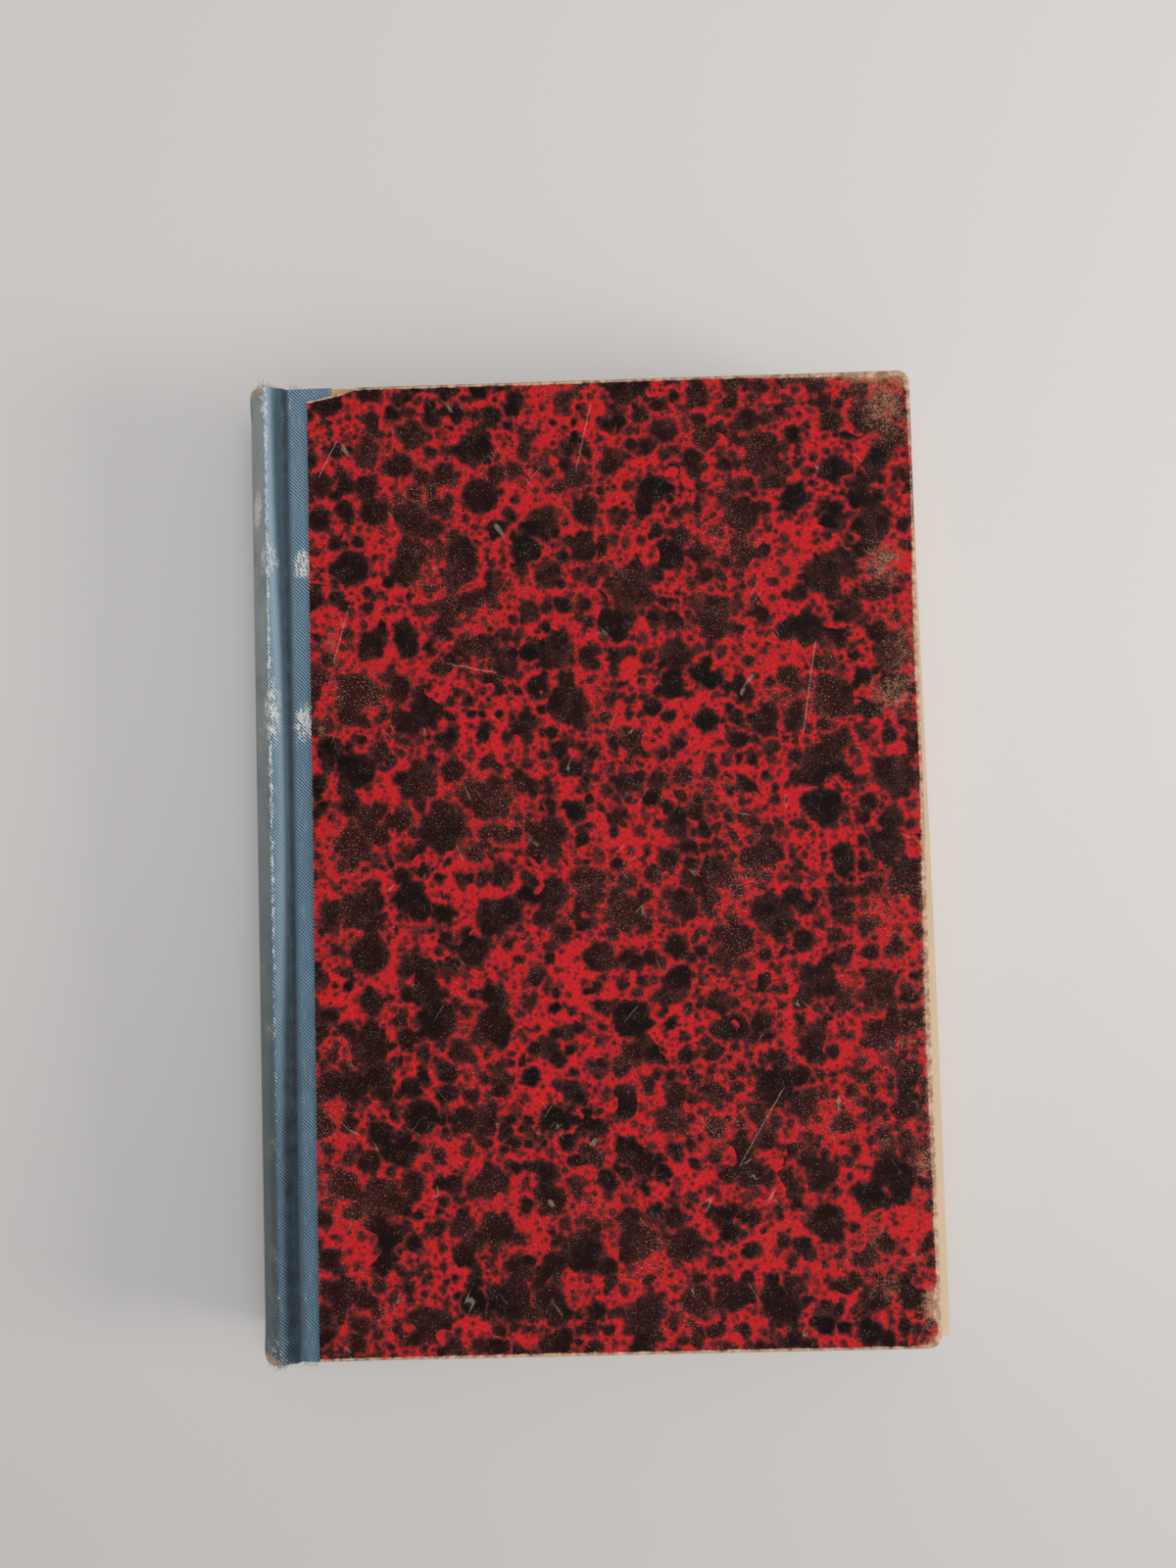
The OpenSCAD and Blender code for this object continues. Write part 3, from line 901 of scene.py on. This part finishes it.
def loose_threads(name, body, roots):
    """Short bent threads that stand out of the cloth's ends: each root is a point and a way to go."""
    points, faces, tone = [], [], []
    for root, way in roots:
        length = random.uniform(0.4, 1.2) + (random.random() < 0.2) * random.uniform(0.3, 0.9)
        radius = random.uniform(0.045, 0.075)
        sag = np.array([random.uniform(-0.4, 0.4), random.uniform(-0.2, 0.2), random.uniform(-0.35, 0.15)])
        across = np.cross(way, [0.3, 0.1, 1])
        across /= np.linalg.norm(across)
        third = np.cross(way, across)
        start = len(points)
        for share in np.linspace(0, 1, THREAD_RINGS):
            centre = np.array(root) + way * length * (share - 0.15) + sag * length * share ** 2
            for a in np.arange(THREAD_SIDES) * 2 * math.pi / THREAD_SIDES:
                turn = across * math.cos(a) + third * math.sin(a)
                points.append(centre + turn * radius * (1 - 0.5 * share))
        tone += [random.uniform(0.35, 1)] * (len(points) - start)
        rings = ring_numbers(range(start, start + THREAD_SIDES), start + THREAD_SIDES, THREAD_RINGS - 1)
        faces += turned_quads(bridge(rings[::-1], closed=True))
        faces += [tuple(rings[0][::-1]), tuple(rings[-1])]
    points = np.array(points)
    piece = make_piece(name, points, faces, THREAD, {"place": points, "tone": tone}, sharp=80)
    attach(piece, body)


def thread_roots(low_x, high_x, number):
    """Roots along the cloth's ends between two places on the front half's section."""
    path = cloth_path(FRONT_X)
    normals = path_normals(path)
    inside = [k for k in range(len(path)) if low_x < path[k, 0] < high_x and path[k, 1] > MID_Z + 3]
    roots = []
    for _ in range(number):
        k = random.choice(inside)
        end = 1 if random.random() < 0.45 else -1
        x, z = path[k] - normals[k] * random.uniform(0, 0.35)
        y = end * (end_half(path[k, 0], FRONT_X) - 0.1)
        way = np.array([random.uniform(-0.6, 0.6), end, random.uniform(-0.25, 0.35)])
        roots.append(((x, y, z), way / np.linalg.norm(way)))
    return roots


loose_threads("spine_loose_threads", "book_block", thread_roots(SPINE_LOW[0], FRONT_X - 0.6, 190))
loose_threads(
    "front_loose_threads", "front_cover", thread_roots(FRONT_X + 2, FRONT_X + PAPER_EDGE - 0.8, 40))


# Covers: sprinkled paper over three edges of a board

# Rubbed patches on the front paper: x from the hinge line, y, half width, half height, strength
PAPER_PATCHES = [
    (124.7, 40, 1.2, 24, 0.6),
    (124.2, -38, 1.5, 50, 0.8),
    (62, -95.1, 66, 0.8, 0.48),
    (120.5, -40, 4.5, 45, 0.3),
    (120, 88, 6.5, 8, 0.58),
    (123.8, 94, 3, 3.4, 0.85),
    (119, 94.8, 11, 2.2, 1.1),
    (104, 95, 12, 1.4, 0.7),
    (88, 95.2, 12, 0.9, 0.4),
    (55, 95.1, 60, 0.8, 0.42),
    (118.5, 57, 5, 6.5, 0.58),
    (124, 42, 2, 4, 0.5),
    (121.5, 38, 5, 14, 0.42),
    (119.5, 31, 6, 5, 0.56),
    (124, -33, 2, 3, 0.52),
    (122.5, -60, 3, 4, 0.55),
    (115.5, -54.5, 2.5, 3.5, 0.42),
    (112, -73, 3, 6, 0.36),
    (114.5, -83, 5.5, 5, 0.4),
    (121, -77.5, 4.5, 1.2, 0.45),
    (123, -87, 2.6, 4.5, 1),
    (123.8, -94.4, 3, 2, 1.2),
    (8, 86, 1.2, 7, 0.36),
    (27, 56, 5, 6, 0.3),
    (9.6, 44, 1.6, 8, 0.36),
    (7, 27, 1.4, 2.6, 0.5),
    (10, 10, 0.35, 80, 0.22),
    (5.3, 4, 0.3, 26, 0.6),
    (62, 4, 5, 4, 0.26),
    (87, 11, 3, 5, 0.3),
    (24, 84, 7, 5, 0.2),
    (95, -72, 14, 9, 0.2),
]
# Radius of the paper over a board's edges with its steps, and of the board's own edges
EDGE_R = 0.45
EDGE_STEPS = 6
BOARD_EDGE_R = 0.3
# Where the flat of the paper's face ends, in X from the hinge line and in Y
FACE_END = BOARD_GAP + BOARD_W + PAPER_T - EDGE_R
FACE_HALF = BOARD_HALF + PAPER_T - EDGE_R
# Width of the face's edges that has fine points, and their step
FINE_W = 7
FINE_STEP = 0.35
# Stretch of the face that the tear draws back, and thickness of the modelled sheet
TEAR_PULL = 7
PAPER_SHEET_T = PAPER_T * 0.9


def spread(low, high, far):
    """Places from low to high: fine steps near both ends, coarse between them."""
    ends = np.arange(0, FINE_W, FINE_STEP)
    count = max(2, round((high - low - 2 * FINE_W) / far))
    middle = np.linspace(low + FINE_W, high - FINE_W, count + 1)
    return np.concatenate([low + ends, middle, high - ends[::-1]])


def round_corners(x, y, high_x, high_y, radius):
    """Moves points of a rectangle's two corners at high x on to quarter circles."""
    p = np.clip((x - (high_x - radius)) / radius, 0, 1)
    q = np.clip((np.abs(y) - (high_y - radius)) / radius, 0, 1)
    moved_x = high_x - radius + radius * p * np.sqrt(1 - q ** 2 / 2)
    moved_y = np.sign(y) * (high_y - radius + radius * q * np.sqrt(1 - p ** 2 / 2))
    corner = (p > 0) & (q > 0)
    return np.where(corner, moved_x, x), np.where(corner, moved_y, y)


def tear_back(x, y):
    """Draws the paper back along the tear at the head of its joint edge, and says how torn each point is."""
    from_edge = x - x[0]
    share = np.clip(1 - from_edge / TEAR_W, 0, 1)
    depth = np.maximum(TEAR_H * share ** 0.8 + 0.22 * wobble(x * 1.3, y * 0, 2), 0)
    depth = np.where(from_edge < TEAR_W, depth, 0)
    y = y - depth * np.clip((y - (FACE_HALF - TEAR_PULL)) / TEAR_PULL, 0, 1)
    torn = smooth(y, FACE_HALF - depth - 0.9, FACE_HALF - depth)
    return y, torn * smooth(-from_edge, -TEAR_W, -TEAR_W + 1.5)


def edge_profile(radius, wall):
    """Paper round a board's edge, from its face to its inside: way out, way down and length so far."""
    turn = radius * np.linspace(0, math.pi / 2, EDGE_STEPS + 1)
    straight = wall - 2 * radius
    section = rounded_edge(radius, wall, EDGE_STEPS)
    section.insert(EDGE_STEPS + 1, (radius, wall / 2))
    runs = np.concatenate([turn, [turn[-1] + straight / 2], turn[-1] + straight + turn])
    return [(*place, run) for place, run in zip(section, runs)][1:]


def paper_rub(from_hinge, y, back):
    """How rubbed a cover's paper is: at the corners of the back, and in the patches of the front."""
    if back:
        corner = np.hypot(from_hinge - (BOARD_GAP + BOARD_W), np.abs(y) - BOARD_HALF)
        return 0.6 * bell(corner, 0, 3)
    rub = np.zeros_like(y)
    for patch_x, patch_y, width, height, strength in PAPER_PATCHES:
        rub = np.maximum(rub, strength * bell(from_hinge, patch_x, width) * bell(y, patch_y, height))
    return rub


def paper_face(side):
    """Face of a cover's paper as a grid of points, with its way to the free edges and how torn it is."""
    back = side == "back"
    joint_x = HINGE_X[side]
    taper, skew = (0, 0) if back else (FRONT_TAPER, PAPER_SKEW)
    low_x, high_x = joint_x + PAPER_EDGE, joint_x + FACE_END
    x, y = np.meshgrid(spread(low_x, high_x, 1.3), spread(-FACE_HALF, FACE_HALF, 1.4), indexing="ij")
    inner = np.minimum(high_x - x, FACE_HALF - np.abs(y))
    x, y = round_corners(x, y, high_x, FACE_HALF, CORNER_R + PAPER_T - EDGE_R)
    share = (x - low_x) / (high_x - low_x)
    x = x - taper * (0.5 - y / (2 * BOARD_HALF)) * share + skew * y / (2 * BOARD_HALF) * (1 - share)
    torn = rise = np.zeros_like(x)

    # The front face is higher where it laps the cloth, and has the slow waves of an old board
    if not back:
        y, torn = tear_back(x, y)
        rise = 0.1 * smooth(joint_x - x, -CLOTH_END - 0.5, -CLOTH_END + 0.3)
        rise = rise + 0.05 * wobble(x / 38, y / 38, 6) * smooth(inner, 0.5, 12)
    return np.stack([x, y, PAPER_TOP + rise], 2), inner, torn


def cover_paper(side):
    """Paper of one cover: face, rounded edges, and the part turned in under the board."""
    back = side == "back"
    joint_x = HINGE_X[side]
    face, inner, torn = paper_face(side)
    nx, ny = inner.shape
    top = face.reshape(-1, 3)

    # Rings of points from the face's three free edges, over the board's edge to the mitred turn-in
    loop = free_edges(nx, ny)
    rim = top[loop]
    out = right_of(np.gradient(rim[:, :2], axis=0))
    to_corner = np.abs(np.abs(rim[:, 1]) - FACE_HALF) + np.abs(rim[:, 0] - joint_x - FACE_END)
    inward = np.minimum(TURN_IN, np.maximum(to_corner * 0.98, 0.5))
    wall = PAPER_TOP - BOARD_UNDER + PAPER_T
    profile = edge_profile(EDGE_R, wall)
    profile.append((-inward, wall, profile[-1][2] + inward))
    points = [top]
    flat = [top * [1, 1, 0]]
    edge = [inner.ravel() + EDGE_R * math.pi / 4]
    for offset, down, run in profile:
        plan = rim[:, :2] + out * np.reshape(offset, (-1, 1))
        points.append(np.column_stack([plan, rim[:, 2] - down]))
        laid_flat = rim[:, :2] + out * np.reshape(run, (-1, 1))
        flat.append(np.column_stack([laid_flat, np.zeros(len(loop))]))
        edge.append(EDGE_R * math.pi / 4 - run + np.zeros(len(loop)))
    points, flat, edge = np.concatenate(points), np.concatenate(flat), np.concatenate(edge)

    # No edge where the front paper is torn off at the head
    at_head = np.arange(len(loop)) >= nx + ny - 1
    whole = np.ones(len(loop), bool) if back else ~(at_head & (rim[:, 0] - rim[-1, 0] < TEAR_W))
    faces = grid_faces(nx, ny) + bridge(ring_numbers(loop, len(top), len(profile)), whole)

    rub = paper_rub(flat[:, 0] - joint_x, flat[:, 1], back)
    rub[:len(top)] = np.maximum(rub[:len(top)], 0.9 * torn.ravel())
    flat[:, 1] += BACK_PAPER_SHIFT * back
    faces, points, flat, edge, rub = drop_unused(faces, points, flat, edge, rub)
    points, faces = thicken(points, faces, PAPER_SHEET_T)
    if back:
        points, faces = mirrored(points, faces)
    fields = both_sides({"flat": flat, "edge": edge, "rub": rub})
    piece = make_piece(side + "_paper_side", points, faces, PAPER, fields)
    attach(piece, side + "_cover")
    return piece


def cover_board(side):
    """Board of one cover with softened edges, stepped down where the cloth lies."""
    back = side == "back"
    taper = 0 if back else FRONT_TAPER
    soft = BOARD_EDGE_R
    low_x = HINGE_X[side] + BOARD_GAP
    high_x = low_x + BOARD_W
    step_x = HINGE_X[side] + CLOTH_END
    xs = np.concatenate([
        [low_x + soft, step_x - 0.05, step_x + 0.05],
        np.linspace(step_x + 4, high_x - CORNER_R, 12),
        np.linspace(high_x - CORNER_R, high_x - soft, 6)[1:]])
    tail = np.linspace(-BOARD_HALF + soft, -BOARD_HALF + CORNER_R, 6)
    middle = np.linspace(-BOARD_HALF + CORNER_R, BOARD_HALF - CORNER_R, 16)
    ys = np.concatenate([tail[:-1], middle, -tail[::-1][1:]])
    nx, ny = len(xs), len(ys)
    x, y = np.meshgrid(xs, ys, indexing="ij")
    x, y = round_corners(x, y, high_x - soft, BOARD_HALF - soft, CORNER_R - soft)
    x = x - taper * (0.5 - y / (2 * BOARD_HALF)) * (x - low_x) / BOARD_W
    z = np.where(x < step_x, BOARD_TOP - CLOTH_T, BOARD_TOP)
    top = np.stack([x, y, z], 2).reshape(-1, 3)

    # Rings down the edge, rounded above and below
    loop = free_edges(nx, ny) + list(range(ny - 2, 0, -1))
    rim = top[loop]
    out = right_of(np.roll(rim[:, :2], -1, 0) - np.roll(rim[:, :2], 1, 0))
    levels = rounded_edge(soft, rim[:, 2] - BOARD_UNDER, 4)[1:]
    points = [np.column_stack([rim[:, :2] + out * way, rim[:, 2] - down]) for way, down in levels]
    points = np.concatenate([top] + points)
    rings = ring_numbers(loop, len(top), len(levels))
    faces = grid_faces(nx, ny) + bridge(rings, closed=True) + [tuple(rings[-1][::-1])]
    if back:
        points, faces = mirrored(points, faces)
    place = points + [0, BACK_BOARD_SHIFT * back, 0]
    piece = make_piece(side + "_strawboard", points, faces, BOARD, {"place": place})
    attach(piece, side + "_cover")
    return piece


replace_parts(cover_paper("front"), "front_cover_paper")
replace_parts(cover_paper("back"), "back_cover_paper")
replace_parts(cover_board("front"), "front_board")
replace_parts(cover_board("back"), "back_board")


# Endpapers: each one folded sheet, half on the pages and half on the cover

FLYLEAF_T = 0.12
PASTEDOWN_T = 0.22
# How far the inside of the fold lies behind its outside
FOLD_SET = 0.15


def page_skew(x, y):
    """How far the front pages of the cocked block stand back at the fore-edge, most at the head."""
    return 0.9 * smooth(y, -40, 90) * smooth(x, 0, 60)


def folded_endpaper(side):
    """Flyleaf, fold and pastedown as one sheet."""
    back = side == "back"
    joint_x = HINGE_X[side]
    fly_x = np.concatenate([[FLY_HIGH[0]], np.linspace(FLY_HIGH[0] - 1.5, joint_x, 42)])
    edge_x = joint_x + BOARD_GAP + BOARD_W - PASTE_MARGIN - (0 if back else FRONT_TAPER)
    path = np.concatenate([
        pairs(fly_x, FLY_HIGH[2]), pairs(np.linspace(joint_x, edge_x, 44), PASTE_LOW[2])])
    fold = len(fly_x)
    number = np.arange(len(path))
    loose = number < fold
    lengths = path_lengths(path) + np.where(loose, 0, 2 * (THICK - PASTE_LOW[2]))
    half = PAGE_HALF + (PASTE_HIGH[1] - PAGE_HALF) * smooth(number, fold, fold + 3)
    across = np.concatenate([[-1, -0.992], np.linspace(-0.975, 0.975, 40), [0.992, 1]])
    columns = len(across)
    y = np.outer(half, across).ravel()
    points = np.stack([np.repeat(path[:, 0], columns), y, np.repeat(path[:, 1], columns)], 1)
    if not back:
        points[:, 0] -= page_skew(points[:, 0], y) * np.repeat(loose, columns)
    flat = np.stack([np.repeat(lengths, columns), y + BACK_PAPER_SHIFT * back, 0 * y], 1)
    from_ends = np.minimum(lengths, lengths[-1] - lengths)
    from_sides = np.outer(half, 1 - np.abs(across)).ravel()
    edge = np.minimum(np.repeat(from_ends, columns), from_sides)
    faces = [tuple(reversed(f)) for f in grid_faces(len(path), columns)]
    points, faces = thicken(points, faces, np.repeat(np.where(loose, FLYLEAF_T, PASTEDOWN_T), columns))
    inside_fold = (len(path) + fold - 1) * columns
    points[inside_fold:inside_fold + 2 * columns, 0] -= FOLD_SET
    start_z, end_z = FLY_HIGH[2], PASTE_LOW[2]
    if back:
        points, faces = mirrored(points, faces)
        start_z, end_z = THICK - start_z, THICK - end_z
    piece = make_piece(side + "_endpaper", points, faces, ENDPAPER, both_sides({"flat": flat, "edge": edge}))
    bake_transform(piece)
    return piece


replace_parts(folded_endpaper("front"), "front_flyleaf", "front_pastedown")
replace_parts(folded_endpaper("back"), "back_flyleaf", "back_pastedown")


# Pages: one solid, with the edge of each leaf as a ridge of its own

LEAVES = 108
LEAVES_IN_GATHERING = 9
# Depth between two leaves, points along a leaf's head, and radius of a leaf's corners
LEAF_GAP = 0.1
RUN = 18
PAGE_CORNER = 0.9


def page_loop(t, fore, head, tail, seed):
    """Outline of one leaf at a level t from -1 at the back to 1 at the front, with its own trim."""
    half_block = PAGE_TOP - MID_Z
    spine_half = PAGE_R * math.sin(SHOULDER_A)
    spine_x = SPINE_CX - math.sqrt(PAGE_R ** 2 - (spine_half * t) ** 2)
    hollow = math.sqrt(PAGE_R ** 2 - (half_block * t) ** 2) - math.sqrt(PAGE_R ** 2 - half_block ** 2)
    fore_x = PAGES_HIGH[0] - hollow + fore
    corner_x = fore_x - PAGE_CORNER
    tail_y, head_y = tail - PAGE_HALF, head + PAGE_HALF
    run_x = np.concatenate([
        spine_x + np.array([0, 0.6, 1.3, 2.2, 3.4, 5]), np.linspace(spine_x + 9, corner_x, RUN - 6)])
    run_y = np.linspace(PAGE_CORNER - PAGE_HALF, PAGE_HALF - PAGE_CORNER, 34)
    turn = np.linspace(0, math.pi / 2, 5)[1:-1]
    out, over = PAGE_CORNER * np.sin(turn), PAGE_CORNER * np.cos(turn)
    loop = np.concatenate([
        pairs(run_x, tail_y), pairs(corner_x + out, tail_y + PAGE_CORNER - over), pairs(fore_x, run_y),
        pairs(corner_x + over, head_y - PAGE_CORNER + out), pairs(run_x[::-1], head_y),
        pairs(spine_x, np.array([0.5, 0, -0.5]) * PAGE_HALF)])
    x, y = loop.T
    x -= page_skew(x, y) * (t + 1) / 2
    sway = 0.06 * wobble(x / 30, y / 30, seed)
    x += sway * smooth(x, 40, 60)
    y += sway * np.sign(y) * smooth(np.abs(y), PAGE_HALF - 2, PAGE_HALF - 1)
    fan = (spine_half - half_block) * t * (1 - smooth(x, spine_x, spine_x + 2.2))
    slow = 0.16 * (1 - t * t) * wobble(x / 45, y / 45, 3)
    return np.stack([x, y, MID_Z + half_block * t + fan + slow], 1)


def page_cap(count):
    """Faces that close an outline of count points: strips from tail to head, and the fore-edge's strip."""
    head = [count - 4 - i for i in range(RUN)]
    caps = [(0, 1, head[1], head[0], count - 3, count - 2, count - 1)]
    caps += [(i, i + 1, head[i + 1], head[i]) for i in range(1, RUN - 1)]
    return caps + [tuple(range(RUN - 1, head[-1] + 1))]


def page_block():
    """All the leaves, each with its own trim, and a deeper line between two gatherings."""
    loops = []
    fore = head = tail = 0
    step = 2 / LEAVES
    for leaf in range(LEAVES):
        low = -1 + leaf * step
        fore = 0.5 * fore + random.uniform(-0.1, 0.04)
        head = 0.5 * head + random.uniform(-0.1, 0.03)
        tail = 0.5 * tail + random.uniform(-0.03, 0.1)
        deep = LEAF_GAP * (2.2 if leaf % LEAVES_IN_GATHERING == 0 else random.uniform(0.5, 1.3))
        deep = deep if leaf else 0
        seed = 10 + leaf * 0.11
        loops.append(page_loop(low, fore - deep, head - deep, tail + deep, seed))
        loops.append(page_loop(low + step * 0.22, fore, head, tail, seed))
        loops.append(page_loop(low + step * 0.8, fore, head, tail, seed))
    loops.append(page_loop(1, fore, head, tail, seed))
    count = len(loops[0])
    rings = ring_numbers(range(count), count, len(loops) - 1)
    faces = turned_quads(bridge(rings[::-1], closed=True))
    for cap in page_cap(count):
        faces.append(tuple(reversed(cap)))
        faces.append(tuple(rings[-1][list(cap)]))
    points = np.concatenate(loops)
    dirt_and_shade = 0.42 * smooth(points[:, 1], PAGE_HALF - 0.8, PAGE_HALF - 0.1)
    dirt_and_shade += 0.15 * smooth(-points[:, 1], PAGE_HALF - 0.8, PAGE_HALF - 0.1)
    piece = make_piece("page_block", points, faces, PAGES, {"place": points, "dirt_and_shade": dirt_and_shade}, sharp=60)
    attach(piece, "book_block")
    return piece


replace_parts(page_block(), "text_block")


# Floor, lights and camera

bpy.ops.mesh.primitive_plane_add(size=6, location=(0, 0, -0.0002))
floor = bpy.context.object
floor.name = "floor"
floor.data.materials.append(floor_paint())

world = bpy.data.worlds.new("room")
bpy.context.scene.world = world
world.use_nodes = True
world.node_tree.nodes["Background"].inputs["Color"].default_value = (1, 0.99, 0.98, 1)
world.node_tree.nodes["Background"].inputs["Strength"].default_value = 0.5


def area_light(name, place, size, power, colour):
    """Soft rectangular light that shines on the book."""
    data = bpy.data.lights.new(name, "AREA")
    data.shape = "RECTANGLE"
    data.size, data.size_y = size
    data.energy = power
    data.color = colour
    lamp = bpy.data.objects.new(name, data)
    bpy.context.scene.collection.objects.link(lamp)
    lamp.location = place
    lamp.rotation_mode = "QUATERNION"
    lamp.rotation_quaternion = (Vector((0, 0, MID_Z * MM)) - Vector(place)).to_track_quat("-Z", "Y")


area_light("window", (0.9, -0.16, 0.33), (0.42, 0.3), 5.5, (1, 0.985, 0.96))
area_light("ceiling", (0.22, 0.12, 1.1), (0.6, 0.6), 4, (0.98, 0.99, 1))

CAMERA_PLACE = Vector((2.27, 5.57, THICK + 230.5)) * MM
CAMERA_AIM = Vector((-0.57, 14.87, THICK)) * MM
CAMERA_ROLL = math.radians(-1.577)
SENSOR_W = 36
FOCAL_PIXELS = 1202
IMAGE_LONG_SIDE = 1600

camera_data = bpy.data.cameras.new("camera")
camera = bpy.data.objects.new("camera", camera_data)
bpy.context.scene.collection.objects.link(camera)
camera_data.sensor_width = SENSOR_W
camera_data.lens = SENSOR_W * FOCAL_PIXELS / IMAGE_LONG_SIDE
camera_data.clip_start = 0.01
back_axis = (CAMERA_PLACE - CAMERA_AIM).normalized()
right = (Vector((1, 0, 0)) - back_axis * back_axis.x).normalized()
right = Matrix.Rotation(CAMERA_ROLL, 3, back_axis) @ right
up = back_axis.cross(right)
camera.matrix_world = Matrix.Translation(CAMERA_PLACE) @ Matrix((right, up, back_axis)).transposed().to_4x4()
bpy.context.scene.camera = camera

bpy.context.scene.view_settings.view_transform = "Standard"

bpy.context.view_layer.update()
